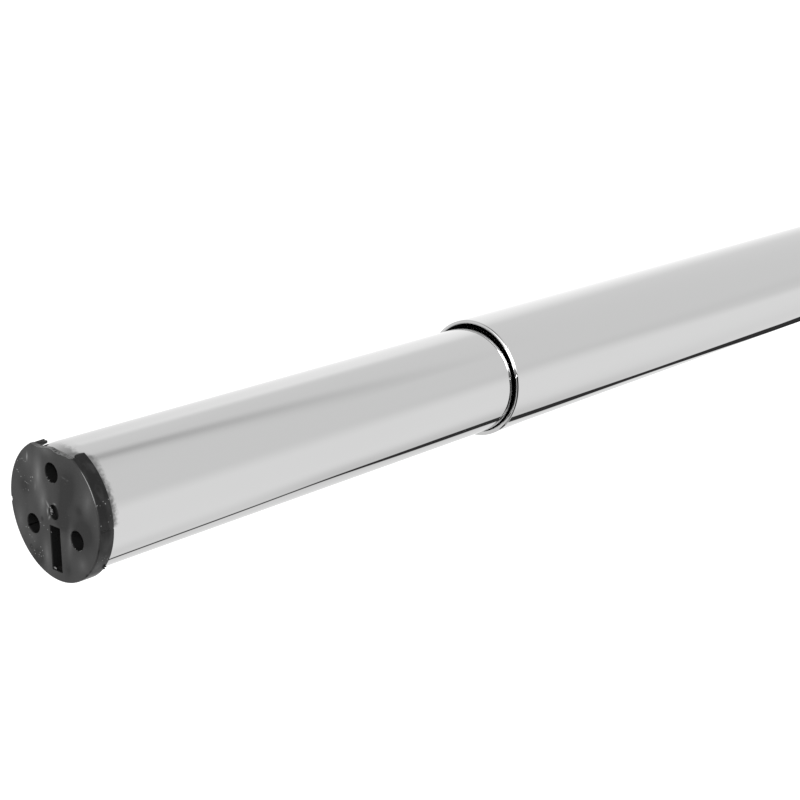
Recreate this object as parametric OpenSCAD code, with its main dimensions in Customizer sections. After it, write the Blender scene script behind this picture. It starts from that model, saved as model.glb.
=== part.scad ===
// Adjustable round closet rod: a thin tube that slides and turns inside a wide tube,
// a moulded cap on the outer end of each, and a guide bush on the hidden end of the thin tube.
// +X runs along the rod, away from the wall that carries the thin tube, and +Z is up.
// The origin is the centre of that cap's wall face. All sizes are in millimetres.

/* [Lengths] */
// Overall length with the rod pushed right together
closed_len = 762; // [650:1:1200]
// Distance from the near wall face to the mouth of the wide tube, as the rod is set
set_len = 120.8; // [10:0.1:400]
// Free room inside, past the guide bush, with the rod pushed together
end_room = 25; // [5:1:120]

/* [Tubes] */
// Outside diameter of the thin tube
thin_od = 25.4; // [25:0.1:36]
// Wall of the thin tube
thin_wall = 0.9; // [0.7:0.05:1.4]
// Wall of the wide tube
wide_wall = 0.9; // [0.7:0.05:1.4]
// Radial gap between the two tubes
slip_gap = 0.4; // [0.2:0.05:0.7]

/* [End caps] */
// Plastic skin between the wall face and the end of the tube
skin_t = 1; // [0.6:0.1:1.6]
// Depth of the flange, from the wall face to its back edge
flange_depth = 3.1; // [2.4:0.1:6]
// How far the flange stands out past its tube
flange_lip = 1.05; // [0.7:0.05:2.5]
// Thickness of the plug's floor
floor_t = 2.4; // [1.8:0.1:4]
// Length of the plug inside the tube
plug_len = 15; // [10:0.5:30]
// Wall of the plug's skirt
plug_wall = 1.5; // [1:0.1:2]
// Thickness of the webs inside the plug
web_t = 1.3; // [0.8:0.1:1.6]
// Distance from the tube's bore in to the centre of each screw hole
screw_inset = 4; // [3.6:0.1:5]
// Diameter of each screw hole
screw_d = 4; // [3:0.1:4.6]
// Room for a screw head above each hole
head_room_d = 8; // [6:0.1:8.4]
// Width of the slot below the centre
slot_w = 3.2; // [2:0.1:4]
// Distance from the centre to the near end of the slot
slot_start = 2.8; // [2.2:0.1:5]
// Depth of the flat at the top of the flange, below the tube's outside
notch_drop = 0.65; // [0.3:0.05:0.85]
// Diameter of the moulding recess at the centre
gate_d = 3; // [2:0.1:4]
// Depth of the moulding recess
gate_depth = 0.9; // [0.4:0.1:1.4]

/* [Guide bush] */
// Length of the collar that runs in the wide tube
collar_len = 5; // [3:0.5:15]
// Length of the snap spigot inside the thin tube
spigot_len = 14; // [11:0.5:30]
// Wall of the spigot
spigot_wall = 2.4; // [1.8:0.1:4]
// Number of slots between the spigot's snap fingers
finger_slots = 4; // [3:1:8]
// Width of each of those slots
finger_slot_w = 1.6; // [0.8:0.1:3]

/* [Hidden] */
$fn = 96;

// Fits and clearances
seat_gap = 0.05;   // left where one piece rests on another
cap_fit = 0.05;    // between a cap and its tube, each side
rib_fit = 0.02;    // between the plug's ribs and the tube's bore
run_fit = 0.08;    // guide collar in the wide tube's bore
face_gap = 0.3;    // between flat faces of pieces that move past each other
cut = 1;           // overrun of every cut past the face it opens

// Edges
cap_edge = 0.25;       // chamfer on the flange's outer edges
plug_lead = 1;         // length of the lead-in at the plug's tip
plug_lead_in = 0.4;    // how far the tip is drawn in
tube_edge = 0.15;      // chamfer on the cut ends of the tubes
bush_edge = 0.5;       // chamfer on the guide bush

// Plug ribs and moulding details
rib_d = 1;             // round crush ribs along the plug
rib_half_angle = 25;   // each skirt segment carries a rib this far to either side of its middle
rib_back = 1.5;        // the ribs start this far behind the plug's tip
web_back = 5;          // the webs stop this far short of the plug's tip
hub_wall = 1.1;        // wall around the moulding recess, behind the face
vestige_d = 1.1;       // stub left in the moulding recess
vestige_h = 0.6;
notch_in = 0.5;        // the flange's rim ends this far inside the corners of the flat
nick_d = 0.8;          // witness nick on each side of the flange
nick_drop = 0.7;       // height of the nicks below the centre line
screw_angles = [90, 210, 330];
web_angles = [30, 150];
slot_angle = 270;

// Retaining bead rolled into the thin tube's hidden end
bead_depth = 0.55;     // how far the bead stands into the bore
bead_r = 0.8;          // radius of the groove on the outside
bead_back = 8;         // from the tube's end to the middle of the bead
bead_room = 0.1;       // clearance round the bead in the spigot's groove

// Radii of the tubes
thin_r = thin_od / 2;
thin_bore_r = thin_r - thin_wall;
wide_bore_r = thin_r + slip_gap;
wide_r = wide_bore_r + wide_wall;

// The thin tube lies in the bottom of the wide tube's mouth, so the wide tube's axis is higher
axis_rise = slip_gap - seat_gap;

// Places along the rod
closed_mouth_x = flange_depth + face_gap;
wide_len = closed_len - closed_mouth_x - skin_t;
far_face_x = set_len + wide_len + skin_t;
thin_start_x = skin_t;
thin_end_x = closed_mouth_x + wide_len - plug_len - end_room - collar_len - face_gap;
bead_x = thin_end_x - bead_back;

// Guide bush, round the wide tube's axis
spigot_r = thin_bore_r - axis_rise - seat_gap;
spigot_groove_r = thin_bore_r - bead_depth - axis_rise - bead_room;
spigot_groove_half_w = bead_r + thin_wall + bead_room;
collar_r = wide_bore_r - run_fit;
bush_bore_r = spigot_r - spigot_wall;

// A shape drawn round +Z is laid along +X
module along_x(x = 0, z = 0) {
    translate([x, 0, z]) rotate([0, 90, 0]) children();
}

// Lays a shape at an angle round the cap's axis, seen from the wall with 90 at the top
module around(angle) {
    rotate([angle, 0, 0]) children();
}

// Steel tube as a revolved wall: radius runs outwards and x runs along the tube
module tube_wall(r_out, wall, len) {
    polygon([
        [r_out - wall, tube_edge],
        [r_out - wall + tube_edge, 0],
        [r_out - tube_edge, 0],
        [r_out, tube_edge],
        [r_out, len - tube_edge],
        [r_out - tube_edge, len],
        [r_out - wall + tube_edge, len],
        [r_out - wall, len - tube_edge]
    ]);
}

// Thin tube, with the bead rolled in near its hidden end
module inner_tube() {
    bead_centre_r = thin_r + bead_r - bead_depth;
    color("silver")
    along_x(thin_start_x) rotate_extrude() difference() {
        union() {
            tube_wall(thin_r, thin_wall, thin_end_x - thin_start_x);
            intersection() {
                translate([bead_centre_r, bead_x - thin_start_x]) circle(r = bead_r + thin_wall);
                translate([0, bead_x - thin_start_x - bead_back / 2]) square([thin_bore_r + tube_edge, bead_back]);
            }
        }
        translate([bead_centre_r, bead_x - thin_start_x]) circle(r = bead_r);
    }
}

// Wide tube, with a rounded mouth
module outer_tube() {
    color("silver")
    along_x(set_len, axis_rise) rotate_extrude() {
        translate([wide_r - wide_wall / 2, wide_wall / 2]) circle(d = wide_wall);
        translate([wide_bore_r, wide_wall / 2]) square([wide_wall, wide_len - wide_wall / 2]);
    }
}

// Flange disc and plug floor in one turn, with a chamfered front edge
module cap_face(tube_r, bore_r) {
    flange_r = tube_r + flange_lip;
    along_x() rotate_extrude() polygon([
        [0, 0],
        [flange_r - cap_edge, 0],
        [flange_r, cap_edge],
        [flange_r, skin_t],
        [bore_r - cap_fit, skin_t],
        [bore_r - cap_fit, floor_t],
        [0, floor_t]
    ]);
}

// Rim that wraps the outside of the tube, open at the top
module cap_rim(tube_r) {
    flange_r = tube_r + flange_lip;
    flat_z = tube_r - notch_drop;
    flat_half_w = sqrt(pow(flange_r, 2) - pow(flat_z, 2));
    open_half_w = flat_half_w - notch_in;
    difference() {
        along_x() rotate_extrude() polygon([
            [tube_r + cap_fit, 0],
            [flange_r - cap_edge, 0],
            [flange_r, cap_edge],
            [flange_r, flange_depth - cap_edge],
            [flange_r - cap_edge, flange_depth],
            [tube_r + cap_fit, flange_depth]
        ]);
        translate([skin_t, -open_half_w, 0]) cube([flange_depth, 2 * open_half_w, flange_r + cut]);
    }
}

// Skirt that fills the tube's bore, with a lead-in at its tip
module cap_skirt(bore_r) {
    skirt_r = bore_r - cap_fit;
    tip_x = skin_t + plug_len;
    along_x() rotate_extrude() polygon([
        [skirt_r - plug_wall, skin_t],
        [skirt_r, skin_t],
        [skirt_r, tip_x - plug_lead],
        [skirt_r - plug_lead_in, tip_x],
        [skirt_r - plug_wall, tip_x]
    ]);
}

// Crush ribs in pairs, one pair on each segment of the skirt
module cap_ribs(bore_r) {
    rib_x = skin_t + cap_edge;
    rib_len = skin_t + plug_len - rib_back - rib_x;
    for (middle = concat(web_angles, slot_angle), side = [-1, 1])
        around(middle + side * rib_half_angle)
            translate([rib_x, bore_r - rib_fit - rib_d / 2, 0])
                along_x() cylinder(d = rib_d, h = rib_len);
}

// Hub and webs that tie the skirt to the middle, and a wall along each side of the slot
module cap_webs(bore_r) {
    web_len = plug_len + skin_t - web_back;
    reach = bore_r - cap_fit - plug_wall / 2;
    hub_r = gate_d / 2 + hub_wall;
    along_x() cylinder(r = hub_r, h = web_len);
    for (angle = web_angles)
        around(angle) translate([0, 0, -web_t / 2]) cube([web_len, reach, web_t]);
    for (side = [-1, 1])
        around(slot_angle)
            translate([0, 0, side * (slot_w + web_t) / 2 - web_t / 2])
                cube([web_len, reach, web_t]);
}

// Three screw holes through the floor, each with room for the head behind it
module screw_holes(bore_r) {
    for (angle = screw_angles)
        around(angle) translate([0, bore_r - screw_inset, 0]) {
            along_x(-cut) cylinder(d = screw_d, h = floor_t + 2 * cut);
            along_x(floor_t) cylinder(d = head_room_d, h = plug_len + cut);
        }
}

// Slot through the face and all the way along the plug
module cap_slot(bore_r) {
    around(slot_angle) translate([-cut, slot_start, -slot_w / 2]) {
        cube([skin_t + 2 * cut, bore_r - slot_start, slot_w]);
        translate([skin_t + cut, 0, 0]) cube([plug_len + cut, bore_r + cap_fit - slot_start, slot_w]);
    }
}

// Blind moulding recess with the stub of the runner in it
module gate_recess() {
    difference() {
        along_x(-cut) cylinder(d = gate_d, h = gate_depth + cut);
        along_x(gate_depth - vestige_h) cylinder(d = vestige_d, h = vestige_h + cut);
    }
}

// End cap for a tube of the given radii, wall face at x = 0 and plug towards +X
module end_cap(tube_r, bore_r) {
    flange_r = tube_r + flange_lip;
    flat_z = tube_r - notch_drop;
    difference() {
        union() {
            cap_face(tube_r, bore_r);
            cap_rim(tube_r);
            cap_skirt(bore_r);
            cap_ribs(bore_r);
            cap_webs(bore_r);
        }
        screw_holes(bore_r);
        cap_slot(bore_r);
        gate_recess();
        translate([-cut, -flange_r, flat_z]) cube([skin_t + cut, 2 * flange_r, flange_lip + notch_drop + cut]);
        for (side = [-1, 1])
            translate([0, side * (flange_r + cap_edge / 2), -nick_drop])
                along_x(-cut) cylinder(d = nick_d, h = flange_depth + 2 * cut);
    }
}

// Cap on the thin tube, against the near wall
module inner_end_cap() {
    color([0.13, 0.13, 0.14]) end_cap(thin_r, thin_bore_r);
}

// Cap on the wide tube, facing the far wall
module outer_end_cap() {
    color([0.13, 0.13, 0.14])
    translate([far_face_x, 0, axis_rise]) mirror([1, 0, 0]) end_cap(wide_r, wide_bore_r);
}

// Bush that turns on the thin tube's bead and slides in the wide tube
module guide_bush() {
    collar_x = thin_end_x + face_gap;
    spigot_x = thin_end_x - spigot_len;
    groove_x = bead_x - spigot_groove_half_w;
    color("ivory")
    difference() {
        along_x(spigot_x, axis_rise) rotate_extrude() polygon([
            [bush_bore_r, 0],
            [spigot_r - bush_edge, 0],
            [spigot_r, bush_edge],
            [spigot_r, groove_x - spigot_x],
            [spigot_groove_r, groove_x - spigot_x],
            [spigot_groove_r, groove_x - spigot_x + 2 * spigot_groove_half_w],
            [spigot_r, groove_x - spigot_x + 2 * spigot_groove_half_w],
            [spigot_r, collar_x - spigot_x],
            [collar_r - bush_edge, collar_x - spigot_x],
            [collar_r, collar_x - spigot_x + bush_edge],
            [collar_r, collar_x - spigot_x + collar_len - bush_edge],
            [collar_r - bush_edge, collar_x - spigot_x + collar_len],
            [bush_bore_r, collar_x - spigot_x + collar_len]
        ]);
        for (i = [0 : finger_slots - 1])
            translate([spigot_x - cut, 0, axis_rise]) around(i * 360 / finger_slots)
                translate([0, 0, -finger_slot_w / 2])
                    cube([spigot_len + cut - bush_edge, spigot_r + cut, finger_slot_w]);
    }
}

inner_tube();
inner_end_cap();
outer_tube();
outer_end_cap();
guide_bush();
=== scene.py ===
import math

import bmesh
import bpy
from mathutils import Matrix, Vector, noise


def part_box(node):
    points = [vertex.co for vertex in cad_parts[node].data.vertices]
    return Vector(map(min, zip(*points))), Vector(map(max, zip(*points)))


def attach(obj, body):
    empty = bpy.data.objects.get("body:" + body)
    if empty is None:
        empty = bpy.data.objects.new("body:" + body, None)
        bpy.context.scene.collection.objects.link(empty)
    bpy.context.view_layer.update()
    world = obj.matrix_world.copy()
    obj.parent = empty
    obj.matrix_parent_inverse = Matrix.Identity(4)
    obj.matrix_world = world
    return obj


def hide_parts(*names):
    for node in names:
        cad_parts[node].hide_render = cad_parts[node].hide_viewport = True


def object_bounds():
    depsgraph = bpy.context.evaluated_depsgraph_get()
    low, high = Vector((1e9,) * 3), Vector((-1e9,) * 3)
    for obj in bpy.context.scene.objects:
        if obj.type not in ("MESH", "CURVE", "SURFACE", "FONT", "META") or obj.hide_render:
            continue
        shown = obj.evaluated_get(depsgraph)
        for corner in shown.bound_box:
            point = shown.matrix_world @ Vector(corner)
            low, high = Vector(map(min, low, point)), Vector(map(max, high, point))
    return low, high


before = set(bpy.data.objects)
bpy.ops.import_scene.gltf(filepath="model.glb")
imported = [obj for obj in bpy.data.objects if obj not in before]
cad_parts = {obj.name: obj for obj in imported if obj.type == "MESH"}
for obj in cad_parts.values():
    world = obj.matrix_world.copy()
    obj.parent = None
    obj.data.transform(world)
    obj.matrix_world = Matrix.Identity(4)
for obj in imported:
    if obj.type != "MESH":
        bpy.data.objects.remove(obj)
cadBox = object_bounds()

scene = bpy.context.scene
mm = 0.001  # pieces are shaped in millimetres and brought to metres when they are placed
fullTurn = 2 * math.pi


# Small helpers

def linearColour(code):
    # sRGB hex, such as "#c8c8c8", to the linear colour that the shaders take
    parts = [int(code[i:i + 2], 16) / 255 for i in (1, 3, 5)]
    linear = [c / 12.92 if c <= 0.04045 else ((c + 0.055) / 1.055) ** 2.4 for c in parts]
    return (*linear, 1)


def addNode(tree, kind, settings=None, links=None):
    # settings: a socket by name or number, or a property; links: a socket and what feeds it
    node = tree.nodes.new(kind)
    for key, value in (settings or {}).items():
        if isinstance(key, int) or key in node.inputs:
            node.inputs[key].default_value = value
        else:
            setattr(node, key, value)
    for key, source in (links or {}).items():
        tree.links.new(source, node.inputs[key])
    return node


def newMaterial(name):
    material = bpy.data.materials.new(name)
    material.use_nodes = True
    tree = material.node_tree
    tree.nodes.clear()
    place = addNode(tree, "ShaderNodeTexCoord").outputs["Object"]
    return material, tree, place


def math2(tree, operation, first, second):
    node = addNode(tree, "ShaderNodeMath", {"operation": operation})
    for index, value in enumerate((first, second)):
        if isinstance(value, (int, float)):
            node.inputs[index].default_value = value
        else:
            tree.links.new(value, node.inputs[index])
    return node.outputs[0]


def bell(tree, distance, width):
    # 1 at no distance, falling away smoothly over the width
    share = math2(tree, "DIVIDE", distance, width)
    return math2(tree, "EXPONENT", math2(tree, "MULTIPLY", math2(tree, "POWER", share, 2), -1), 0)


def smoothStep(tree, value, low, high):
    node = addNode(tree, "ShaderNodeMapRange",
                   {"interpolation_type": "SMOOTHSTEP", "From Min": low, "From Max": high}, {"Value": value})
    return node.outputs[0]


def within(tree, value, span):
    # fades in from the span's first value to its second, which may be the lower one
    return smoothStep(tree, value, span[0], span[1])


def product(tree, *values):
    total = values[0]
    for value in values[1:]:
        total = math2(tree, "MULTIPLY", total, value)
    return total


def finishMaterial(tree, shader):
    addNode(tree, "ShaderNodeOutputMaterial", links={"Surface": shader.outputs[0]})


def sizeOf(node):
    # a node's box in millimetres: start and end along the rod, middle height and radius
    low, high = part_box(node)
    return {
        "start": low.x / mm,
        "end": high.x / mm,
        "height": (low.z + high.z) / 2 / mm,
        "radius": (high.y - low.y) / 2 / mm,
    }


def spinRound(bm, outline, segments, closed=True):
    # turns an outline of (place along the rod, radius) points once round the rod's axis
    points = [bm.verts.new((x, 0, radius)) for x, radius in outline]
    nextPoints = points[1:] + points[:1] if closed else points[1:]
    edges = [bm.edges.new(pair) for pair in zip(points, nextPoints)]
    bmesh.ops.spin(bm, geom=points + edges, cent=(0, 0, 0), axis=(1, 0, 0),
                   angle=fullTurn, steps=segments, use_merge=True)
    bmesh.ops.remove_doubles(bm, verts=bm.verts, dist=1e-4)
    bmesh.ops.recalc_face_normals(bm, faces=bm.faces)


def arcPoints(centre, radius, fromAngle, toAngle, steps):
    # points of an arc in the outline's plane, angles in degrees from the rod's direction
    angles = [math.radians(fromAngle + (toAngle - fromAngle) * i / steps) for i in range(steps + 1)]
    return [(centre[0] + radius * math.cos(a), centre[1] + radius * math.sin(a)) for a in angles]


def meshObject(name, bm):
    mesh = bpy.data.meshes.new(name)
    bm.to_mesh(mesh)
    bm.free()
    piece = bpy.data.objects.new(name, mesh)
    scene.collection.objects.link(piece)
    return piece


def cutOrJoin(piece, tool, operation):
    step = piece.modifiers.new("step", "BOOLEAN")
    step.object = tool
    step.operation = operation
    step.solver = "EXACT"
    step.use_self = True
    shaped = bpy.data.meshes.new_from_object(piece.evaluated_get(bpy.context.evaluated_depsgraph_get()))
    piece.modifiers.clear()
    old = piece.data
    piece.data = shaped
    bpy.data.meshes.remove(old)
    bpy.data.meshes.remove(tool.data)


def placePiece(piece, body, node, materials, mirrorAt=None, rise=0):
    # brings a shaped piece to metres and into the frame, and hands it to its CAD body
    place = Matrix.Scale(mm, 4)
    if mirrorAt is not None:
        place = place @ Matrix.Translation((mirrorAt, 0, rise)) @ Matrix.Scale(-1, 4, (1, 0, 0))
    piece.data.transform(place)
    if mirrorAt is not None:
        piece.data.flip_normals()
    for material in materials:
        piece.data.materials.append(material)
    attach(piece, body)
    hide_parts(node)


# Materials

# Chrome plating on steel: a mirror, a shade darker than silver, darkened and dulled by painted shade next to the
# cap
def chromePlating():
    look = {
        "colour": "#cbcbcb", "haze": 0.02, "drawLineWidth": 0.12, "drawLineLength": 100,
        # painted shade by the cap, also dulling it: its colour and amount, its patches, how far it goes along the
        # rod, fading and ragged
        "capShade": "#262626", "capShadeAmount": 0.8, "capShadePatch": 0.8, "capShadeEnd": 4.75, "capShadeFade": (-0.6, 1.0),
        "capShadeRagged": 1.8, "capShadeDullness": 0.12, "capShadeAbove": (-1.1, -0.3),
        # further beside the rim's torn end
        "byHorn": 0.55, "hornFrom": (-10.5, -6.5), "hornTo": (-3.0, -6.0),
        # thinner towards the crown, and shorter and thinner still in the notch
        "crown": (7.0, 11.0), "crownThinner": 0.35, "notchUp": (10.4, 11.7), "notchSide": (-6.2, -5.2),
        "notchShorter": 1.5, "notchFade": (-3.0, 1.5), "notchThinner": 0.4,
    }
    material, tree, place = newMaterial("chromePlatedSteel")
    # draw lines: noise that is long along the rod and thin round it
    stretched = addNode(tree, "ShaderNodeMapping", {"Scale": (1 / look["drawLineLength"], 1, 1)}, {"Vector": place})
    lines = addNode(tree, "ShaderNodeTexNoise", {"Scale": 1 / (look["drawLineWidth"] * mm), "Detail": 3},
                    {"Vector": stretched.outputs[0]})
    patches = addNode(tree, "ShaderNodeTexNoise", {"Scale": 1 / (look["capShadePatch"] * mm), "Detail": 3},
                      {"Vector": place})
    parts = addNode(tree, "ShaderNodeSeparateXYZ", links={0: place})
    x, y, z = [math2(tree, "DIVIDE", output, mm) for output in parts.outputs]
    # painted shade next to the cap: longer beside the rim's torn end, shorter and thinner in the notch and at the
    # crown
    byHorn = product(tree, within(tree, y, look["hornFrom"]), within(tree, y, look["hornTo"]), look["byHorn"])
    inNotch = product(tree, within(tree, z, look["notchUp"]), within(tree, y, look["notchSide"]))
    shorter = product(tree, inNotch, look["notchShorter"])
    reach = math2(tree, "ADD", math2(tree, "SUBTRACT", byHorn, shorter), look["capShadeEnd"])
    unevenness = product(tree, math2(tree, "SUBTRACT", patches.outputs[0], 0.5), look["capShadeRagged"])
    inside = math2(tree, "SUBTRACT", math2(tree, "ADD", reach, unevenness), x)
    thinner = product(tree, within(tree, z, look["crown"]), look["crownThinner"])
    thinnest = product(tree, inNotch, within(tree, y, look["notchFade"]), look["notchThinner"])
    amount = math2(tree, "SUBTRACT", math2(tree, "SUBTRACT", 1, thinner), thinnest)
    capShade = product(tree, within(tree, inside, look["capShadeFade"]), within(tree, z, look["capShadeAbove"]), amount,
                   look["capShadeAmount"])
    colours = addNode(tree, "ShaderNodeMix", {"data_type": "RGBA", 6: linearColour(look["colour"]),
                                              7: linearColour(look["capShade"])}, {0: capShade})
    roughness = addNode(tree, "ShaderNodeMapRange", {"To Min": look["haze"], "To Max": 2.5 * look["haze"]},
                        {"Value": lines.outputs[0]})
    dulled = math2(tree, "ADD", roughness.outputs[0], product(tree, capShade, look["capShadeDullness"]))
    shader = addNode(tree, "ShaderNodeBsdfPrincipled", {"Metallic": 1},
                     {"Base Color": colours.outputs[2], "Roughness": dulled})
    finishMaterial(tree, shader)
    return material


# Bare rolled steel inside the tubes and on their cut ends: dull grey, patchy with oil
def bareSteel():
    look = {"light": "#8c8b89", "dark": "#5c5b59", "patch": 6}
    material, tree, place = newMaterial("bareRolledSteel")
    patches = addNode(tree, "ShaderNodeTexNoise", {"Scale": 1 / (look["patch"] * mm), "Detail": 5},
                      {"Vector": place})
    colours = addNode(tree, "ShaderNodeValToRGB", links={"Fac": patches.outputs[0]})
    colours.color_ramp.elements[0].color = linearColour(look["dark"])
    colours.color_ramp.elements[1].color = linearColour(look["light"])
    shader = addNode(tree, "ShaderNodeBsdfPrincipled", {"Metallic": 1, "Roughness": 0.38},
                     {"Base Color": colours.outputs[0]})
    finishMaterial(tree, shader)
    return material


# Injection-moulded black polypropylene: black in the depths, with a thin grey haze, flow marks, nicks and
# scuffs on the face that was handled
# The flow marks are partly painted sheen, and the face carries painted sheen and shade patches, a painted
# highlight along its front edge and painted light on the notch's cut floor.
def blackPolypropylene():
    look = {
        "colour": 0.005, "haze": 0.0125, "flowAndSheen": 4, "flowAndSheenStretch": 0.35, "grain": 0.3, "faceDepth": (0.35, 0.08),
        # fainter haze on the rim: its tone, patches and contrast, and the radius where it starts
        "rimHaze": 0.012, "rimPatch": 1.6, "rimContrast": (0.38, 0.75), "rimFrom": (13.0, 13.4),
        # painted sheen and shade, soft patches on the face: right, up, half width, half height, lean in degrees,
        # tone
        "sheenShadeAndScuffs": [
            (-4.3, 6.4, 2.4, 7.4, 6, 0.055), (-3.2, 1.5, 2.2, 5.0, 12, 0.045), (4.6, -4.5, 1.5, 5.5, 10, 0.03),
            (10.7, 4.7, 2.5, 5.4, 16, 0.025), (-3.0, -9.0, 2.0, 5.5, 0, 0.034), (8.0, -8.4, 2.6, 3.0, 30, 0.026),
            (-11.0, -4.0, 2.8, 5.8, 0, 0.024), (-1.5, 12.0, 4.5, 2.2, 0, 0.03), (-7.4, 9.3, 0.4, 1.5, 8, 0.12),
            (-7.5, 9.0, 3.5, 3.5, 0, 0.014), (-7.5, -6.5, 3.0, 2.6, 0, 0.01), (2.3, -1.0, 4.0, 4.0, 0, -0.042),
            (4.4, 5.4, 5.0, 8.5, 14, -0.03), (8.8, -1.8, 5.2, 5.2, 20, -0.034), (2.6, 2.2, 2.6, 3.0, 0, -0.01),
            (3.6, -10.5, 3.0, 3.4, 0, -0.012), (-5.8, -10.4, 3.4, 3.2, 0, -0.026), (7.8, 2.2, 2.6, 2.4, 0, -0.018),
            (-9.0, 3.2, 3.2, 3.0, 0, -0.018),
            # scuffs low on the right edge and beside the screw holes
            (10.5, -9.2, 0.9, 0.7, -40, -0.06), (9.2, -10.2, 0.9, 0.6, -40, -0.05),
            (13.3, -4.6, 0.7, 1.1, 0, -0.05), (-8.0, -8.9, 0.8, 0.8, 0, -0.05), (-6.2, -9.6, 0.7, 0.9, 0, -0.05),
            (-3.8, -2.2, 0.7, 0.8, 0, -0.04), (-5.4, 3.8, 0.5, 1.4, 10, 0.03), (4.9, 7.4, 0.9, 0.35, -20, 0.03),
            (3.8, 7.6, 1.2, 0.35, 10, 0.03),
            # pale crescent beside the gate's raised torn rim: painted highlight
            (-1.7, 1.1, 0.45, 1.4, -35, 0.12), (-1.95, -0.2, 0.4, 1.4, 2, 0.12), (-1.5, -1.35, 0.4, 1.0, 35, 0.1),
            (0.4, 1.75, 0.9, 0.35, 0, 0.08),
        ],
        # nicks: how far apart, how large and how pale; how many are kept; where they lie: right, up, radius
        "speck": 0.55, "speckEdge": (0.256, 0.128), "speckTone": 0.13,
        "speckChance": 0.75, "speckKept": (0.72, 0.86),
        "nicks": [(-9.3, 6.6, 3.0), (-6.0, 6.1, 2.0), (-7.2, 3.6, 2.4), (-8.6, 0.7, 2.0), (-3.4, -3.2, 3.4),
                  (-8.4, -6.3, 2.0), (-6.1, -9.3, 2.6), (12.9, 4.6, 1.2), (13.3, 1.0, 1.4), (12.3, -6.6, 1.5)],
        # painted highlight on a stretch of the front edge: radius, half width, and its angles from the sideways
        # direction
        "edgeRadius": 13.62, "edgeWidth": 0.036, "edgeFrom": (18, 24), "edgeTo": (50, 44), "edgeHighlightTone": 0.14,
        # painted light: the notch's cut floor is lighter where it faces up, and its bevel carries a painted
        # highlight
        # cut floor of the notch: how grey it is, on top and on its bevel, and where it lies
        "cutGreyAndLightTone": 0.06, "bevelHighlightTone": 0.3, "cutUp": (11.5, 11.75), "cutLeft": (5.1, 4.3), "cutRight": (-6.2, -5.9),
        "cutGrain": 0.5, "cutContrast": (0.35, 0.62), "facingUp": (0.2, 0.6), "facingOut": (0.2, 0.5),
        # rim left standing at the notch's other end
        "hornTone": 0.014, "hornFrom": (4.7, 5.2),
        # the far cap starts here along the rod, in metres, and its notch lies this much higher
        "farFrom": 0.4, "farRise": 1.65,
    }
    material, tree, place = newMaterial("blackMouldedPolypropylene")
    parts = addNode(tree, "ShaderNodeSeparateXYZ", links={0: place})
    y, z = [math2(tree, "DIVIDE", output, mm) for output in parts.outputs[1:]]
    out = math2(tree, "SQRT", math2(tree, "ADD", math2(tree, "POWER", y, 2), math2(tree, "POWER", z, 2)), 0)
    fromNear = math2(tree, "ABSOLUTE", parts.outputs[0], 0)
    fromFar = math2(tree, "ABSOLUTE", math2(tree, "SUBTRACT", parts.outputs[0], cadBox[1].x), 0)
    fromFace = math2(tree, "MINIMUM", fromNear, fromFar)
    onFace = smoothStep(tree, fromFace, look["faceDepth"][0] * mm, look["faceDepth"][1] * mm)
    offFace = math2(tree, "SUBTRACT", 1, onFace)
    # haze drawn out along the melt's flow, partly painted sheen, with painted sheen and shade marks on top
    stretched = addNode(tree, "ShaderNodeMapping", {"Scale": (1, 1, look["flowAndSheenStretch"])}, {"Vector": place})
    flowAndSheen = addNode(tree, "ShaderNodeTexNoise", {"Scale": 1 / (look["flowAndSheen"] * mm), "Detail": 2.5, "Roughness": 0.4},
                   {"Vector": stretched.outputs[0]})
    tone = addNode(tree, "ShaderNodeMapRange",
                   {"From Min": 0.3, "From Max": 0.7, "To Min": 0.7 * look["haze"], "To Max": 1.3 * look["haze"]},
                   {"Value": flowAndSheen.outputs[0]}).outputs[0]
    flat = addNode(tree, "ShaderNodeVectorMath", {"operation": "MULTIPLY", 1: (0, 1, 1)}, {0: place}).outputs[0]

    def spot(right, up, halfWidth, halfHeight, lean=0):
        laid = addNode(tree, "ShaderNodeMapping",
                       {"vector_type": "TEXTURE", "Location": (0, -right * mm, up * mm),
                        "Rotation": (math.radians(lean), 0, 0), "Scale": (1, halfWidth * mm, halfHeight * mm)},
                       {"Vector": flat})
        return addNode(tree, "ShaderNodeTexGradient", {"gradient_type": "QUADRATIC_SPHERE"},
                       {"Vector": laid.outputs[0]}).outputs["Fac"]

    # painted sheen and shade patches, and scuffs, laid on the face
    for right, up, halfWidth, halfHeight, lean, strength in look["sheenShadeAndScuffs"]:
        tone = math2(tree, "ADD", tone, product(tree, spot(right, up, halfWidth, halfHeight, lean), strength))
    tone = product(tree, math2(tree, "MAXIMUM", tone, 0), onFace)
    rimPatches = addNode(tree, "ShaderNodeTexNoise", {"Scale": 1 / (look["rimPatch"] * mm), "Detail": 3},
                         {"Vector": stretched.outputs[0]})
    rimTone = product(tree, within(tree, rimPatches.outputs[0], look["rimContrast"]), offFace,
                      within(tree, out, look["rimFrom"]), look["rimHaze"])
    tone = math2(tree, "ADD", tone, rimTone)
    # nicks: tiny pale specks, thick in a few patches
    cells = addNode(tree, "ShaderNodeTexVoronoi", {"Scale": 1 / (look["speck"] * mm)}, {"Vector": place})
    chosen = addNode(tree, "ShaderNodeSeparateColor", links={0: cells.outputs["Color"]})
    small = within(tree, cells.outputs["Distance"], look["speckEdge"])
    crowd = 0.0
    for right, up, radius in look["nicks"]:
        crowd = math2(tree, "ADD", crowd, spot(right, up, radius, radius))
    chance = product(tree, chosen.outputs[0], look["speckChance"])
    some = within(tree, math2(tree, "ADD", chance, crowd), look["speckKept"])
    specksAndPaintedLight = product(tree, small, some, look["speckTone"])
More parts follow.
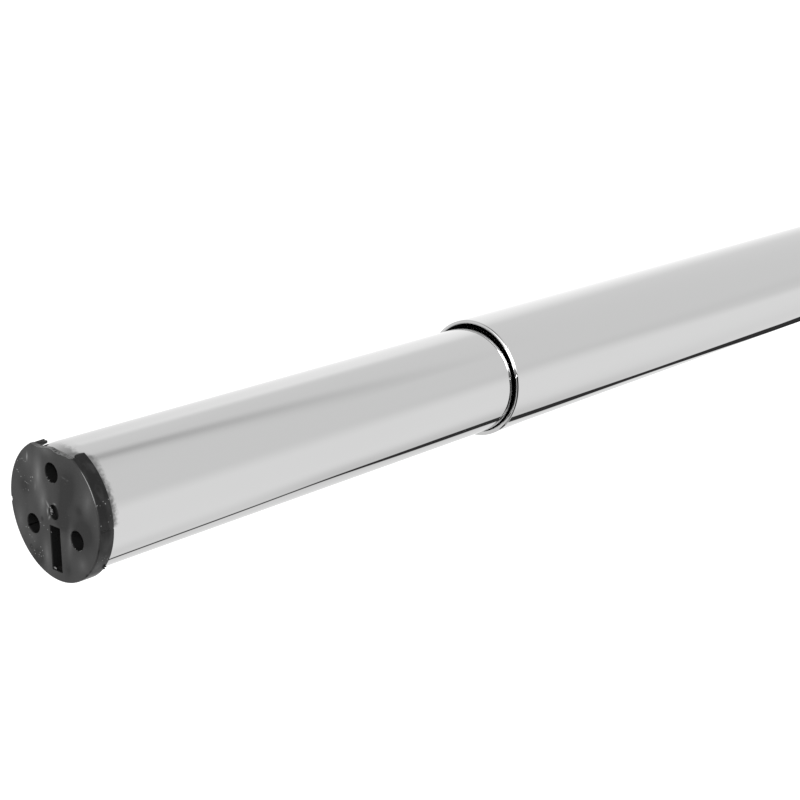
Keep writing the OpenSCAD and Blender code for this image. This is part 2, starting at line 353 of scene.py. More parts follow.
    # painted highlight along the front edge
    angle = math2(tree, "ARCTAN2", z, math2(tree, "MULTIPLY", y, -1))
    edgeHighlight = product(tree, bell(tree, math2(tree, "SUBTRACT", out, look["edgeRadius"]), look["edgeWidth"]), onFace,
                   smoothStep(tree, angle, *[math.radians(turn) for turn in look["edgeFrom"]]),
                   smoothStep(tree, angle, *[math.radians(turn) for turn in look["edgeTo"]]), look["edgeHighlightTone"])
    specksAndPaintedLight = math2(tree, "ADD", specksAndPaintedLight, edgeHighlight)
    # cut plastic in the notch, grey and mottled, with painted light where it faces up and a painted highlight on
    # its bevel
    rise = product(tree, math2(tree, "GREATER_THAN", parts.outputs[0], look["farFrom"]), look["farRise"])
    mottle = addNode(tree, "ShaderNodeTexNoise", {"Scale": 1 / (look["cutGrain"] * mm), "Detail": 2},
                     {"Vector": place})
    normal = addNode(tree, "ShaderNodeTexCoord").outputs["Normal"]
    facing = addNode(tree, "ShaderNodeSeparateXYZ", links={0: normal})
    litFromAbove = within(tree, facing.outputs[2], look["facingUp"])
    sideways = math2(tree, "ABSOLUTE", facing.outputs[0], 0)
    bevel = product(tree, within(tree, sideways, look["facingOut"]), look["bevelHighlightTone"])
    top = within(tree, math2(tree, "SUBTRACT", z, rise), look["cutUp"])
    cutGreyAndLight = product(tree, top, litFromAbove, within(tree, y, look["cutRight"]), within(tree, y, look["cutLeft"]),
                  within(tree, mottle.outputs[0], look["cutContrast"]), math2(tree, "ADD", bevel, look["cutGreyAndLightTone"]))
    horn = product(tree, top, within(tree, y, look["hornFrom"]), offFace, look["hornTone"])
    specksAndPaintedLight = math2(tree, "ADD", math2(tree, "ADD", specksAndPaintedLight, cutGreyAndLight), horn)
    total = math2(tree, "ADD", math2(tree, "ADD", tone, specksAndPaintedLight), look["colour"])
    colour = addNode(tree, "ShaderNodeCombineColor", links={0: total, 1: total, 2: total})
    grain = addNode(tree, "ShaderNodeTexNoise", {"Scale": 1 / (look["grain"] * mm), "Detail": 4}, {"Vector": place})
    bump = addNode(tree, "ShaderNodeBump", {"Strength": 0.3, "Distance": 0.015 * mm}, {"Height": grain.outputs[0]})
    roughness = addNode(tree, "ShaderNodeMapRange", {"To Min": 0.24, "To Max": 0.42}, {"Value": flowAndSheen.outputs[0]})
    shader = addNode(tree, "ShaderNodeBsdfPrincipled", {"IOR": 1.49, "Specular IOR Level": 0.2},
                     {"Base Color": colour.outputs[0], "Roughness": roughness.outputs[0],
                      "Normal": bump.outputs[0]})
    finishMaterial(tree, shader)
    return material


# The same polypropylene where it was torn: whitened and matt
def tornPolypropylene():
    look = {"dark": "#262626", "darkUpTo": 0.4, "pale": "#6c6c6c", "paleFrom": 0.62, "patch": 0.4}
    material, tree, place = newMaterial("tornPolypropylene")
    patches = addNode(tree, "ShaderNodeTexNoise", {"Scale": 1 / (look["patch"] * mm), "Detail": 3},
                      {"Vector": place})
    colours = addNode(tree, "ShaderNodeValToRGB", links={"Fac": patches.outputs[0]})
    colours.color_ramp.elements[0].position = look["darkUpTo"]
    colours.color_ramp.elements[1].position = look["paleFrom"]
    colours.color_ramp.elements[0].color = linearColour(look["dark"])
    colours.color_ramp.elements[1].color = linearColour(look["pale"])
    shader = addNode(tree, "ShaderNodeBsdfPrincipled", {"IOR": 1.49, "Roughness": 0.45},
                     {"Base Color": colours.outputs[0]})
    finishMaterial(tree, shader)
    return material


# Unfilled nylon: a waxy off-white that lets a little light in
def naturalNylon():
    look = {"colour": "#e2dccb", "shade": "#d3ccb8", "patch": 4}
    material, tree, place = newMaterial("naturalNylon")
    patches = addNode(tree, "ShaderNodeTexNoise", {"Scale": 1 / (look["patch"] * mm), "Detail": 3},
                      {"Vector": place})
    colours = addNode(tree, "ShaderNodeValToRGB", links={"Fac": patches.outputs[0]})
    colours.color_ramp.elements[0].color = linearColour(look["shade"])
    colours.color_ramp.elements[1].color = linearColour(look["colour"])
    shader = addNode(tree, "ShaderNodeBsdfPrincipled",
                     {"IOR": 1.53, "Roughness": 0.5, "Subsurface Weight": 0.15, "Subsurface Scale": 1.5 * mm},
                     {"Base Color": colours.outputs[0]})
    finishMaterial(tree, shader)
    return material


chrome = chromePlating()
steel = bareSteel()
polypropylene = blackPolypropylene()
tornPlastic = tornPolypropylene()
nylon = naturalNylon()
print("materials made")


# Tubes

tubeSteel = {"wall": 0.9, "segments": 192, "loopEvery": 12, "loopHold": 0.25, "edge": 0.15, "sharpFrom": 35}


def alongTube(fromX, toX, radius, every):
    # points on a straight stretch, with a close one at each end to hold the shading flat
    hold = tubeSteel["loopHold"]
    inner = toX - fromX - 2 * hold
    steps = max(1, round(abs(inner) / every))
    return [(fromX + hold + inner * i / steps, radius) for i in range(steps + 1)]


def paintBore(piece, innerRadius, outerRadius):
    # faces nearer the bore than the outside take the second material, bare steel
    middle = (innerRadius + outerRadius) / 2
    for face in piece.data.polygons:
        if math.hypot(face.center.y, face.center.z) < middle:
            face.material_index = 1


def addTube(name, bm, body, node, paint=None):
    piece = meshObject(name, bm)
    if paint:
        paintBore(piece, *paint)
    piece.data.shade_smooth()
    piece.data.set_sharp_from_angle(angle=math.radians(tubeSteel["sharpFrom"]))
    placePiece(piece, body, node, [chrome, steel])


# Thin tube: end drawn in under the cap, bead rolled in near the hidden end
def innerTube():
    size, wall, edge = sizeOf("inner_tube"), tubeSteel["wall"], tubeSteel["edge"]
    look = {"drawnIn": 0.42, "drawnLength": 4.2, "drawnSteps": 24, "endRound": 0.25, "endEdge": 0.1,
            "beadDepth": 0.55, "beadRadius": 0.8, "beadBack": 8, "beadSteps": 12}
    start, end, radius = size["start"], size["end"], size["radius"]
    bore = radius - wall
    # drawn-in end, from the cut face out along the tube
    turn = look["endRound"]
    endRadius = radius - look["drawnIn"]
    outline = [(start, bore + look["endEdge"]), (start, endRadius - turn)]
    outline += arcPoints((start + turn, endRadius - turn), turn, 180, 110, 5)[1:]
    for i in range(look["drawnSteps"]):
        share = (i + 1) / look["drawnSteps"]
        outline.append((start + turn + (look["drawnLength"] - turn) * share,
                        radius - look["drawnIn"] * (1 - share) ** 2))
    # bead: an arc that dips into the outside and stands into the bore
    beadX = end - look["beadBack"]
    beadCentre = (beadX, radius + look["beadRadius"] - look["beadDepth"])
    halfAngle = math.degrees(math.acos((look["beadRadius"] - look["beadDepth"]) / look["beadRadius"]))
    halfWidth = look["beadRadius"] * math.sin(math.radians(halfAngle))
    outline += alongTube(start + look["drawnLength"], beadX - halfWidth, radius, tubeSteel["loopEvery"])
    outline += arcPoints(beadCentre, look["beadRadius"], 270 - halfAngle, 270 + halfAngle, look["beadSteps"])
    outline += alongTube(beadX + halfWidth, end - edge, radius, tubeSteel["loopEvery"])
    outline += [(end - edge, radius), (end, radius - edge), (end, bore + edge), (end - edge, bore)]
    backRadius = look["beadRadius"] + wall
    backHalf = math.degrees(math.acos((beadCentre[1] - bore) / backRadius))
    backWidth = backRadius * math.sin(math.radians(backHalf))
    outline += alongTube(end - edge, beadX + backWidth, bore, tubeSteel["loopEvery"])
    outline += arcPoints(beadCentre, backRadius, 270 + backHalf, 270 - backHalf, look["beadSteps"])
    outline += alongTube(beadX - backWidth, start + look["endEdge"], bore, tubeSteel["loopEvery"])
    bm = bmesh.new()
    spinRound(bm, outline, tubeSteel["segments"])
    addTube("thinTube", bm, "inner_rod", "inner_tube", (bore, radius))


# Wide tube: its mouth is rolled over to a full round
def outerTube():
    size = sizeOf("outer_tube")
    start, end, radius = size["start"], size["end"], size["radius"]
    bore = radius - tubeSteel["wall"]
    mouth = {
        # outer round: how long, how high; inner round; where the bore's plain stretch ends
        "depth": 0.5, "drop": 0.5, "steps": 12, "inside": 0.36, "boreFrom": 1.2, "bareFrom": 0.72, "bareUpTo": 0.1,
        # the very end sags and is flared a hair
        "sag": 0.09, "sagLength": 3, "flare": 0.07,
        # its lip is fuller at the bottom: how square its inner round is there, how far it stands out, and how low
        # on the tube that starts, as shares of the radius
        "squarer": 8, "lowFlare": 0.16, "lowFrom": 0.1, "lowOver": 0.7,
    }
    lip = mouth["inside"]
    outline = arcPoints((start + lip, bore + lip), lip, 270, 180, 6)
    for i in range(mouth["steps"] + 1):
        angle = math.pi / 2 * i / mouth["steps"]
        outline.append((start + mouth["depth"] * (1 - math.cos(angle)),
                        radius + mouth["drop"] * (math.sin(angle) - 1)))
    outline += alongTube(start + mouth["depth"], end, radius, tubeSteel["loopEvery"])
    outline += [(end, radius), (end, bore)]
    outline += alongTube(end, start + mouth["boreFrom"], bore, tubeSteel["loopEvery"])
    bm = bmesh.new()
    spinRound(bm, outline, tubeSteel["segments"])
    for face in bm.faces:
        middle = face.calc_center_median()
        inBore = math.hypot(middle.y, middle.z) < bore + mouth["bareUpTo"]
        face.material_index = int(inBore and middle.x > start + mouth["bareFrom"])
    # the mouth's points go to their places; close is the slack in telling which lie on the lip's inner round
    close = 1e-4
    for point in bm.verts:
        share = max(0, 1 - (point.co.x - start) / mouth["sagLength"]) ** 2
        out = math.hypot(point.co.y, point.co.z)
        low = min(1, max(0, (-point.co.z / out - mouth["lowFrom"]) / mouth["lowOver"]))
        back, up = 1 - (point.co.x - start) / lip, 1 - (out - bore) / lip
        if back > -close and -close < up < 1 + close:
            power = 2 + (mouth["squarer"] - 2) * low
            full = (abs(back) ** power + abs(up) ** power) ** (-1 / power)
            point.co.x = start + (1 - back * full) * lip
            point.co.yz *= (bore + (1 - up * full) * lip) / out
        outside = out > bore + lip + 100 * close
        point.co.yz *= 1 + (mouth["flare"] + (mouth["lowFlare"] * low if outside else 0)) / radius * share
        point.co.z += size["height"] - mouth["sag"] * share
    addTube("wideTube", bm, "outer_rod", "outer_tube")


innerTube()
outerTube()
print("tubes made")


# End caps

capMould = {
    "segments": 144,
    "skin": 1.0, "floor": 2.4, "rimDepth": 3.3, "flangeLip": 1.05, "fit": 0.05, "frontRound": 0.3, "backRound": 0.1,
    "faceRing": 1.2, "skirtWall": 1.5, "lead": 1.0, "leadIn": 0.4,
    "ribDiameter": 1.0, "ribFit": 0.02, "ribSpread": 25, "ribFrom": 0.25, "ribBack": 1.5,
    "webThickness": 1.3, "webBack": 5, "hubWall": 1.1,
    "screwInset": 4, "screwDiameter": 4, "headRoom": 8, "screwAngles": [90, 210, 330], "webAngles": [30, 150],
    "slotWidth": 3.2, "slotStart": 2.8, "slotAngle": 270,
    "gateDiameter": 3, "gateDepth": 0.9,
    # parting-line nicks: side, diameter, how far out its middle is
    "nicks": [(1, 1.3, 0.1), (-1, 0.6, 0.14)], "nickDrop": 0.55,
    # notch in the top, cut ragged, for a tube of this radius: right and up along the face's edge
    "notchRadius": 12.7,
    "notchEdge": [(-15, 12.22), (-6.1, 12.2), (-5.4, 12.15), (-4.7, 12.07), (-4.0, 11.99), (-3.2, 12.06),
                  (-2.5, 12.19), (-1.4, 12.4), (-0.4, 12.5), (0.2, 12.46), (0.7, 12.34), (1.3, 12.1), (2.0, 12.06),
                  (2.6, 11.95), (3.2, 12.07), (4.0, 11.97), (4.8, 12.03), (5.5, 11.9), (6.4, 12.0), (15, 12.1)],
    # the rim's gap behind it: along the rod and right, round both of its ends
    "rimGap": [(1.0, -6.85), (2.0, -6.6), (3.3, -6.12), (4.3, -5.8),
               (4.3, 6.2), (3.3, 6.08), (2.0, 5.86), (1.0, 6.15)],
    # beak left standing on the left end: along the rod, right and up of its root and its tip, and their radii
    "beak": [(2.95, -6.3, 11.68, 0.5), (3.13, -5.16, 12.02, 0.17)],
    # edges that turn by more than this many degrees are softened, and flat stretches are made one face first
    "edgeSoftness": 0.1, "softenFrom": 38, "flatWithin": 0.4, "sharpFrom": 50, "mergeWithin": 0.002,
}


def turned(angle, x=0, radius=0):
    # a place on the cap: turned from +Y towards +Z, so many millimetres out and into the tube
    return Matrix.Rotation(math.radians(angle), 4, "X") @ Matrix.Translation((x, radius, 0))


def addRod(bm, place, length, diameter, segments=48):
    # a round bar along the rod's direction, starting at the given place
    lay = place @ Matrix.Translation((length / 2, 0, 0)) @ Matrix.Rotation(math.pi / 2, 4, "Y")
    bmesh.ops.create_cone(bm, cap_ends=True, segments=segments, radius1=diameter / 2, radius2=diameter / 2,
                          depth=length, matrix=lay)


def addPrism(bm, points, lift):
    face = bm.faces.new([bm.verts.new(point) for point in points])
    lifted = bmesh.ops.extrude_face_region(bm, geom=[face])["geom"]
    bmesh.ops.translate(bm, verts=[part for part in lifted if isinstance(part, bmesh.types.BMVert)], vec=lift)


def addBlock(bm, place, low, high):
    size = Vector(high) - Vector(low)
    middle = (Vector(high) + Vector(low)) / 2
    bmesh.ops.create_cube(bm, size=1, matrix=place @ Matrix.Translation(middle) @ Matrix.Diagonal((*size, 1)))


# Bits of plastic that tearing the cap off its sprue left behind
tornBits = {
    "unevenness": 0.12, "grain": 2.1, "faceClearance": 0.01,
    # right, up, out of the face, width, height, thickness, lean in degrees
    "gate": [(-1.2, -0.25, -0.4, 0.42, 1.3, 0.5, -14), (-1.3, 0.6, -0.3, 0.3, 0.6, 0.4, -30)],
    "slot": [(-1.5, -4.3, -0.12, 0.45, 0.3, 0.2, 10), (-0.85, -11.4, -0.15, 0.8, 0.35, 0.3, 15)],
    # flash on the rim's back edge, still black; none of it reaches the mouth of the pushed-in wide tube
    "rim": [(10.85, -8.65, -2.9, 0.5, 0.35, 0.6, 0), (10.45, -9.15, -2.95, 0.35, 0.3, 0.5, 0)],
    # on a screw hole's rim: how deep, thick and flat they are; the hole's angle, right and up in hole radii, size
    "holeDepth": -0.1, "holeThickness": 0.3, "holeFlatness": 0.7,
    "holes": [(90, -0.75, -0.62, 0.22), (90, -0.5, -0.84, 0.18), (90, 0.1, -0.98, 0.16),
              (210, -0.42, -0.9, 0.26), (210, -0.12, -0.98, 0.2), (210, 0.3, -0.93, 0.28), (210, 0.5, -0.84, 0.2),
              (210, -0.8, -0.55, 0.2)],
}


def addTornBits(bm, bore):
    def addBit(right, up, out, width, height, thickness, lean, slot=1):
        place = (Matrix.Translation((-out, -right, up)) @ Matrix.Rotation(math.radians(lean), 4, "X")
                 @ Matrix.Diagonal((thickness / 2, width / 2, height / 2, 1)))
        made = bmesh.ops.create_icosphere(bm, subdivisions=3, radius=1, matrix=place)["verts"]
        for point in made:
            point.co += noise.noise_vector(point.co * tornBits["grain"]) * tornBits["unevenness"]
            point.co.x = max(point.co.x, tornBits["faceClearance"])
        for face in {face for point in made for face in point.link_faces}:
            face.material_index = slot
            face.smooth = True

    for bit in tornBits["gate"] + tornBits["slot"]:
        addBit(*bit)
    for bit in tornBits["rim"]:
        addBit(*bit, slot=0)
    holeRadius = capMould["screwDiameter"] / 2
    for hole, right, up, size in tornBits["holes"]:
        angle = math.radians(hole)
        middle = Vector((math.cos(angle), math.sin(angle))) * (bore - capMould["screwInset"])
        addBit(-middle.x + right * holeRadius, middle.y + up * holeRadius, tornBits["holeDepth"],
               size, size * tornBits["holeFlatness"], tornBits["holeThickness"], 0)


def endCap(name, tubeNode, capNode, body, mirrored):
    tube, cap = sizeOf(tubeNode), sizeOf(capNode)
    mould = capMould
    tubeRadius = tube["radius"]
    bore = tubeRadius - tubeSteel["wall"]
    flange = tubeRadius + mould["flangeLip"]
    skirt = bore - mould["fit"]
    tip = cap["end"] - cap["start"]
    skin, floorX = mould["skin"], mould["floor"]
    over = 1.0  # how far each cut reaches past the plastic

    # body of revolution: face, rim round the tube, floor and skirt
    turn = mould["frontRound"]
    backTurn = mould["backRound"]
    outline = [(0, 0), (0, flange - turn - mould["faceRing"])]
    outline += arcPoints((turn, flange - turn), turn, 180, 90, 6)
    outline += arcPoints((mould["rimDepth"] - backTurn, flange - backTurn), backTurn, 90, 0, 5)
    outline += [(mould["rimDepth"], tubeRadius + mould["fit"]), (skin, tubeRadius + mould["fit"]), (skin, skirt)]
    outline += [(tip - mould["lead"], skirt), (tip, skirt - mould["leadIn"]), (tip, bore - mould["skirtWall"])]
    outline += [(floorX, bore - mould["skirtWall"]), (floorX, 0)]
    bm = bmesh.new()
    spinRound(bm, outline, mould["segments"], closed=False)
    bmesh.ops.holes_fill(bm, edges=bm.edges, sides=0)
    piece = meshObject(name, bm)

    # ribs, webs and hub
    bm = bmesh.new()
    webLength = tip - mould["webBack"]
    reach = skirt - mould["skirtWall"] / 2
    half = mould["webThickness"] / 2
    ribStart = skin + mould["ribFrom"]
    for middle in mould["webAngles"] + [mould["slotAngle"]]:
        for side in (-1, 1):
            place = turned(middle + side * mould["ribSpread"], ribStart,
                           bore - mould["ribFit"] - mould["ribDiameter"] / 2)
            addRod(bm, place, tip - mould["ribBack"] - ribStart, mould["ribDiameter"], 24)
    for angle in mould["webAngles"]:
        addBlock(bm, turned(angle), (skin / 2, 0, -half), (webLength, reach, half))
    for side in (-1, 1):
        offset = side * (mould["slotWidth"] + mould["webThickness"]) / 2
        addBlock(bm, turned(mould["slotAngle"]), (skin / 2, 0, offset - half), (webLength, reach, offset + half))
    addRod(bm, turned(0, skin / 2), webLength - skin / 2, mould["gateDiameter"] + 2 * mould["hubWall"])
    inside = meshObject(name + "Inside", bm)
    cutOrJoin(piece, inside, "UNION")

    # everything that the mould leaves open
    bm = bmesh.new()
    for angle in mould["screwAngles"]:
        addRod(bm, turned(angle, -over, bore - mould["screwInset"]), floorX + 2 * over, mould["screwDiameter"])
        addRod(bm, turned(angle, floorX, bore - mould["screwInset"]), tip, mould["headRoom"])
    halfSlot = mould["slotWidth"] / 2
    for fromX, toX, deep in ((-over, skin + over, bore), (skin, tip + over, bore + mould["fit"])):
        addBlock(bm, turned(mould["slotAngle"]), (fromX, mould["slotStart"], -halfSlot), (toX, deep, halfSlot))
    addRod(bm, turned(0, -over), over + mould["gateDepth"], mould["gateDiameter"])
    grow = tubeRadius - mould["notchRadius"]
    top = flange + over
    edge = [(-over, -right, up + grow) for right, up in mould["notchEdge"]]
    corners = [(-over, edge[-1][1], top), (-over, edge[0][1], top)]
    addPrism(bm, edge + corners, (skin + over, 0, 0))
    addPrism(bm, [(x, -right, tubeRadius - 1) for x, right in mould["rimGap"]], (0, 0, top - tubeRadius + 1))
    for side, diameter, out in mould["nicks"]:
        place = Matrix.Translation((-over, side * (flange + out), -mould["nickDrop"]))
        addRod(bm, place, mould["rimDepth"] + 2 * over, diameter, 24)
    bmesh.ops.recalc_face_normals(bm, faces=bm.faces)
    openings = meshObject(name + "Openings", bm)
    cutOrJoin(piece, openings, "DIFFERENCE")

    # beak
    bm = bmesh.new()
    root, point = [Vector((x, -right, up + grow)) for x, right, up, radius in mould["beak"]]
    rootRadius, pointRadius = [radius for x, right, up, radius in mould["beak"]]
    lay = Matrix.Translation((root + point) / 2) @ (point - root).to_track_quat("Z", "Y").to_matrix().to_4x4()
    bmesh.ops.create_cone(bm, cap_ends=True, segments=32, radius1=rootRadius, radius2=pointRadius,
                          depth=(point - root).length, matrix=lay)
    beak = meshObject(name + "Beak", bm)
    cutOrJoin(piece, beak, "UNION")

    # soften every edge that the mould would have left
    bm = bmesh.new()
    bm.from_mesh(piece.data)
    bmesh.ops.remove_doubles(bm, verts=bm.verts, dist=mould["mergeWithin"])
    bmesh.ops.dissolve_limit(bm, angle_limit=math.radians(mould["flatWithin"]), verts=bm.verts, edges=bm.edges)
    softenFrom = math.radians(mould["softenFrom"])
    sharp = [e for e in bm.edges if len(e.link_faces) == 2 and e.calc_face_angle(0) > softenFrom]
    bmesh.ops.bevel(bm, geom=sharp, offset=mould["edgeSoftness"], offset_type="OFFSET", segments=2, profile=0.5,
                    affect="EDGES", clamp_overlap=True, material=-1)
    addTornBits(bm, bore)
    bm.to_mesh(piece.data)
    bm.free()
    piece.data.shade_smooth()
    piece.data.set_sharp_from_angle(angle=math.radians(mould["sharpFrom"]))
    weighted = piece.modifiers.new("flatFaces", "WEIGHTED_NORMAL")
    weighted.keep_sharp = True
    mirrorAt = cap["end"] if mirrored else None
    placePiece(piece, body, capNode, [polypropylene, tornPlastic], mirrorAt, tube["height"])


endCap("nearEndCap", "inner_tube", "inner_end_cap", "inner_rod", False)
endCap("farEndCap", "outer_tube", "outer_end_cap", "outer_rod", True)
print("end caps made")


# Guide bush: the CAD shape stays and takes its nylon

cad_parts["guide_bush"].data.materials.clear()
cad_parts["guide_bush"].data.materials.append(nylon)


# Studio

studio = {"floorHeight": -600, "floorSize": 60000, "floorGlow": 0.22, "black": 0.01}

# The white room that the chrome mirrors, by direction: x along the rod, y across it and away from the camera, z up,
# and turn, the angle from x to y. A region has a strength, and fades in over each span in turn.
room = {
    "dome": 0.94,
    # lighter table below; its edge on the camera's side lies lower and is sharper towards the rod's far end
    "table": 0.16, "tableEdge": (0.18, -0.18), "tableHeight": 0.02,
    "farEnd": (-0.7, -0.53), "farLower": 0.105, "farSharper": 1.2,
    # faint dip just over the table
    "dipHeight": 0.1, "dipWidth": 0.09,
    "dip": (-0.035, ("turn", -0.85, -0.7), ("turn", 0.2, 0.0)),
    "tableFar": (-0.15, ("turn", -0.6, 0.0)),
    "tableBack": (-0.035, ("turn", 0.3, 0.6), ("z", -0.24, -0.38)),
    "wall": (0.24, ("turn", 0.36, 0.68), ("turn", 1.15, 0.68), ("z", 0.66, 0.5), ("z", -0.36, -0.18),
             ("x", -0.3, 0.2)),
    "window": (0.95, ("x", 0.15, -0.05), ("z", 0.17, 0.25), ("z", 0.8, 0.72), ("y", 0.35, 0.1)),
    # dark floor on the camera's side of the table
    "floorSide": (0.97, ("x", 0.3, 0.05), ("y", -0.1, -0.3), ("z", 0.17, 0.09)),
}


def flagMaterial(name, shading):
    # matt black card; shading gives how much of it is there
    material, tree, place = newMaterial(name)
    amount = shading(tree, place)
    clear = addNode(tree, "ShaderNodeBsdfTransparent")
    black = addNode(tree, "ShaderNodeBsdfDiffuse", {"Color": (*[studio["black"]] * 3, 1)})
    mix = addNode(tree, "ShaderNodeMixShader", links={0: amount, 1: clear.outputs[0], 2: black.outputs[0]})
    finishMaterial(tree, mix)
    return material


def reflectedOnly(piece):
    for ray in ("camera", "diffuse", "shadow", "transmission", "volume_scatter"):
        setattr(piece, "visible_" + ray, False)


def makeWorld():
    world = bpy.data.worlds.new("whiteRoom")
    scene.world = world
    world.use_nodes = True
    tree = world.node_tree
    tree.nodes.clear()
    direction = addNode(tree, "ShaderNodeTexCoord").outputs["Generated"]
    parts = addNode(tree, "ShaderNodeSeparateXYZ", links={0: direction})
    x, y, z = parts.outputs
    measured = {"x": x, "y": y, "z": z, "turn": math2(tree, "ARCTAN2", y, x)}
    farEnd = within(tree, measured["turn"], room["farEnd"])
    lowered = math2(tree, "ADD", math2(tree, "SUBTRACT", z, room["tableHeight"]),
                    product(tree, farEnd, room["farLower"]))
    sharper = math2(tree, "ADD", product(tree, farEnd, room["farSharper"]), 1)
    below = within(tree, product(tree, lowered, sharper), room["tableEdge"])

    def region(name, *alsoTimes):
        strength, *spans = room[name]
        return product(tree, *[within(tree, measured[what], span) for what, *span in spans], *alsoTimes, strength)

    dip = bell(tree, math2(tree, "SUBTRACT", z, room["dipHeight"]), room["dipWidth"])
    light = math2(tree, "ADD", product(tree, below, room["table"]), room["dome"])
    for added in (region("dip", dip), region("tableFar", below), region("tableBack"), region("wall"),
                  region("window")):
        light = math2(tree, "ADD", light, added)
    strength = product(tree, light, math2(tree, "SUBTRACT", 1, region("floorSide")))
    # seen directly, the room is plain
    seen = addNode(tree, "ShaderNodeLightPath").outputs["Is Camera Ray"]
    strength = math2(tree, "ADD", product(tree, strength, math2(tree, "SUBTRACT", 1, seen)), seen)
    shader = addNode(tree, "ShaderNodeBackground", {"Color": (1, 1, 1, 1)}, {"Strength": strength})
    addNode(tree, "ShaderNodeOutputWorld", links={"Surface": shader.outputs[0]})


def makeFloor():
    bm = bmesh.new()
    bmesh.ops.create_grid(bm, x_segments=1, y_segments=1, size=studio["floorSize"] * mm / 2,
                          matrix=Matrix.Translation((0, 0, studio["floorHeight"] * mm)))
    floor = meshObject("floor", bm)
    material, tree = newMaterial("mattWhitePaper")[:2]
    shader = addNode(tree, "ShaderNodeBsdfPrincipled",
                     {"Base Color": (0.9, 0.9, 0.9, 1), "Roughness": 0.9, "Specular IOR Level": 0,
                      "Emission Color": (1, 1, 1, 1), "Emission Strength": studio["floorGlow"]})
    finishMaterial(tree, shader)
    floor.data.materials.append(material)
    floor.visible_glossy = False


def makeOverheadFlag():
    # black flag high over the rod, with a thin arm of it reaching over the camera's far side; its measures are
    # shares of its height, so they are slopes as seen from the rod
    look = {"height": 3.0, "side": 12.0, "radius": 0.42, "depth": 0.9, "armFrom": (0.732, 0.017),
            "armTowards": (0.63, -0.777), "armWidth": 0.11, "armDepth": 0.3, "armFades": -2, "armBack": -0.05,
            "armEnd": (1.1, 0.7)}
    height = look["height"]
    bm = bmesh.new()
    bmesh.ops.create_grid(bm, x_segments=1, y_segments=1, size=look["side"] / 2,
                          matrix=Matrix.Translation((0, 0, height)))
    flag = meshObject("overheadFlag", bm)

    def shading(tree, place):
        parts = addNode(tree, "ShaderNodeSeparateXYZ", links={0: place})
        x, y = [math2(tree, "DIVIDE", output, height) for output in parts.outputs[:2]]
        out = math2(tree, "SQRT", math2(tree, "ADD", math2(tree, "POWER", x, 2), math2(tree, "POWER", y, 2)), 0)
        middle = product(tree, bell(tree, out, look["radius"]), look["depth"])
        fromX, fromY = [math2(tree, "SUBTRACT", value, start) for value, start in zip((x, y), look["armFrom"])]
        towardsX, towardsY = look["armTowards"]
        along = math2(tree, "ADD", product(tree, fromX, towardsX), product(tree, fromY, towardsY))
        across = math2(tree, "SUBTRACT", product(tree, fromY, towardsX), product(tree, fromX, towardsY))
        fade = product(tree, math2(tree, "MAXIMUM", along, look["armBack"]), look["armFades"])
        arm = product(tree, bell(tree, across, look["armWidth"]), math2(tree, "EXPONENT", fade, 0),
                      within(tree, along, look["armEnd"]), look["armDepth"])
        return math2(tree, "MAXIMUM", middle, arm)

    flag.data.materials.append(flagMaterial("overheadFlagCard", shading))
    reflectedOnly(flag)


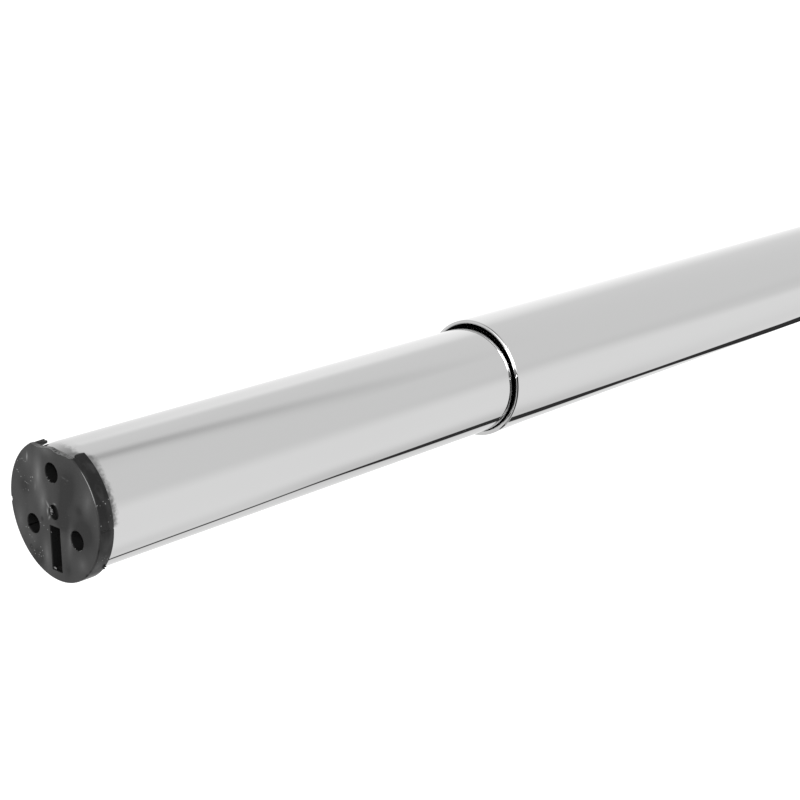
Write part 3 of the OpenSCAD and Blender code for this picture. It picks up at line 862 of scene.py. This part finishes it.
def makeRodShadowCard():
    # black card under the rod, a painted shadow that the tubes mirror as a thin line: it widens away from the cap,
    # and a faint painted shade lies beside it on the camera's side
    rodShadow = {
        "height": -13.8, "middle": 650, "length": 1400, "side": 80,
        # its middle line is a shallow bow and then straight, and turns aside once: where, how long, how much
        "middleX": 120, "middleY": -9.7, "bow": 0.00014, "straightFrom": 258, "aside": (68, 18, 0.55),
        # half width near the cap, where it widens and by how much, and where it swells: where, how long, how much
        "nearWidth": 0.37, "widens": [(54, 110, 0.8), (185, 310, 2.0)],
        "swells": [(145, 22, 0.2), (184, 24, -0.14), (262, 34, 0.2)],
        "soft": 0.25, "depth": 0.97,
        "shade": 0.14, "shadeBeside": 2.2, "shadeWidth": 3.6, "shadeFrom": (35, 75), "shadeTo": (240, 140),
    }
    bm = bmesh.new()
    bmesh.ops.create_grid(bm, x_segments=1, y_segments=1, size=0.5,
                          matrix=Matrix.Translation((rodShadow["middle"] * mm, 0, rodShadow["height"] * mm))
                          @ Matrix.Diagonal((rodShadow["length"] * mm, rodShadow["side"] * mm, 1, 1)))
    card = meshObject("rodShadowCard", bm)

    def shading(tree, place):
        parts = addNode(tree, "ShaderNodeSeparateXYZ", links={0: place})
        x, y = [math2(tree, "DIVIDE", output, mm) for output in parts.outputs[:2]]

        def swelling(where, length, amount):
            return product(tree, bell(tree, math2(tree, "SUBTRACT", x, where), length), amount)

        bend = math2(tree, "SUBTRACT", math2(tree, "MINIMUM", x, rodShadow["straightFrom"]), rodShadow["middleX"])
        away = math2(tree, "SUBTRACT", y, rodShadow["middleY"])
        away = math2(tree, "SUBTRACT", away, product(tree, bend, bend, rodShadow["bow"]))
        away = math2(tree, "ADD", away, swelling(*rodShadow["aside"]))
        width = rodShadow["nearWidth"]
        for start, end, amount in rodShadow["widens"]:
            width = math2(tree, "ADD", product(tree, smoothStep(tree, x, start, end), amount), width)
        for swell in rodShadow["swells"]:
            width = math2(tree, "ADD", width, swelling(*swell))
        edge = math2(tree, "SUBTRACT", math2(tree, "ABSOLUTE", away, 0), width)
        dark = product(tree, smoothStep(tree, edge, rodShadow["soft"], -rodShadow["soft"]), rodShadow["depth"])
        beside = bell(tree, math2(tree, "ADD", away, rodShadow["shadeBeside"]), rodShadow["shadeWidth"])
        shade = product(tree, beside, within(tree, x, rodShadow["shadeFrom"]), within(tree, x, rodShadow["shadeTo"]),
                        rodShadow["shade"])
        return math2(tree, "MAXIMUM", dark, shade)

    card.data.materials.append(flagMaterial("rodShadowCardMaterial", shading))
    reflectedOnly(card)


def makeCamera():
    view = {"place": (-162.3, -234.5, 105.7), "towards": (0.7076, 0.644, -0.289), "lens": 72, "sensor": 36}
    camera = bpy.data.objects.new("camera", bpy.data.cameras.new("camera"))
    scene.collection.objects.link(camera)
    camera.data.lens = view["lens"]
    camera.data.sensor_width = view["sensor"]
    camera.data.clip_start = 0.01
    camera.location = Vector(view["place"]) * mm
    camera.rotation_euler = Vector(view["towards"]).to_track_quat("-Z", "Y").to_euler()
    scene.camera = camera


def makeLamps():
    # tall bright panel behind and above the camera: it lights the cap's face and rings the tube's mouth;
    # a small lamp at table height leaves two glints below the panel's
    lamps = {
        "panel": {"towards": (-0.64, -0.575, 0.508), "distance": 1500, "width": 500, "height": 1000, "power": 24},
        "smallLamp": {"towards": (-0.731, -0.682, 0.0), "distance": 1500, "width": 110, "height": 90, "power": 1.4},
    }
    for name, look in lamps.items():
        lamp = bpy.data.lights.new(name, "AREA")
        lamp.shape = "RECTANGLE"
        lamp.size = look["width"] * mm
        lamp.size_y = look["height"] * mm
        lamp.energy = look["power"]
        light = bpy.data.objects.new(name, lamp)
        scene.collection.objects.link(light)
        light.location = Vector(look["towards"]).normalized() * look["distance"] * mm
        light.rotation_euler = Vector(look["towards"]).to_track_quat("Z", "Y").to_euler()
        light.visible_camera = False


scene.view_settings.view_transform = "Standard"
makeWorld()
makeFloor()
makeCamera()
makeOverheadFlag()
makeRodShadowCard()
makeLamps()
print("studio made")
